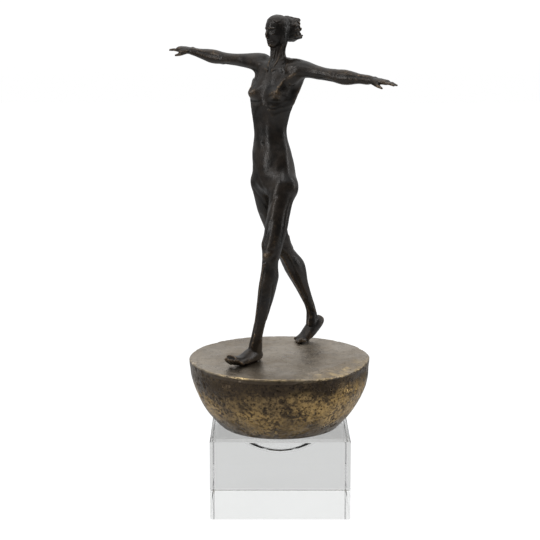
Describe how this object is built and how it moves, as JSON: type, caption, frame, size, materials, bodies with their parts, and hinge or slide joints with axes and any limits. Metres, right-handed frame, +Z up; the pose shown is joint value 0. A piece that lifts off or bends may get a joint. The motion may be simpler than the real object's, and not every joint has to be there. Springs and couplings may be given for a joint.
{
  "type": "striding figure statuette",
  "caption": "Dark bronze striding woman with outstretched arms on a gold-bronze half-ball base, standing on a square clear crystal block.",
  "frame": {"origin": "middle of the crystal block's underside, on the axis of the half-ball base", "axes": "+Z up through the figure; -Y is the front of the block; +X is to the right seen from the front"},
  "size_m": [0.2227, 0.18, 0.4824],
  "materials": {
    "dark_bronze": "dark brown patina, rubbed highlights",
    "gold_bronze": "mottled antique gold, pitted cast",
    "deck_bronze": "scratched satin grey-brown",
    "crystal": "clear polished",
    "bond": "clear adhesive",
    "fastener_steel": "zinc plated",
    "dowel_steel": "plain turned"
  },
  "bodies": {
    "root": {"crystal_block": "crystal", "bond_ring": "bond", "bowl_shell": "gold_bronze", "bowl_deck": "deck_bronze", "tie_rod": "fastener_steel", "tie_washer": "fastener_steel", "tie_nut": "fastener_steel", "foot_washers": "fastener_steel", "foot_nuts": "fastener_steel", "right_foot_stud": "fastener_steel", "left_foot_stud": "fastener_steel", "torso": "dark_bronze", "head": "dark_bronze", "hair_knot": "dark_bronze", "right_arm": "dark_bronze", "left_arm": "dark_bronze", "right_leg": "dark_bronze", "left_leg": "dark_bronze", "neck_pin": "dowel_steel", "hair_pin": "dowel_steel", "right_shoulder_pin": "dowel_steel", "left_shoulder_pin": "dowel_steel", "right_hip_pin": "dowel_steel", "left_hip_pin": "dowel_steel"}
  },
  "joints": []
}
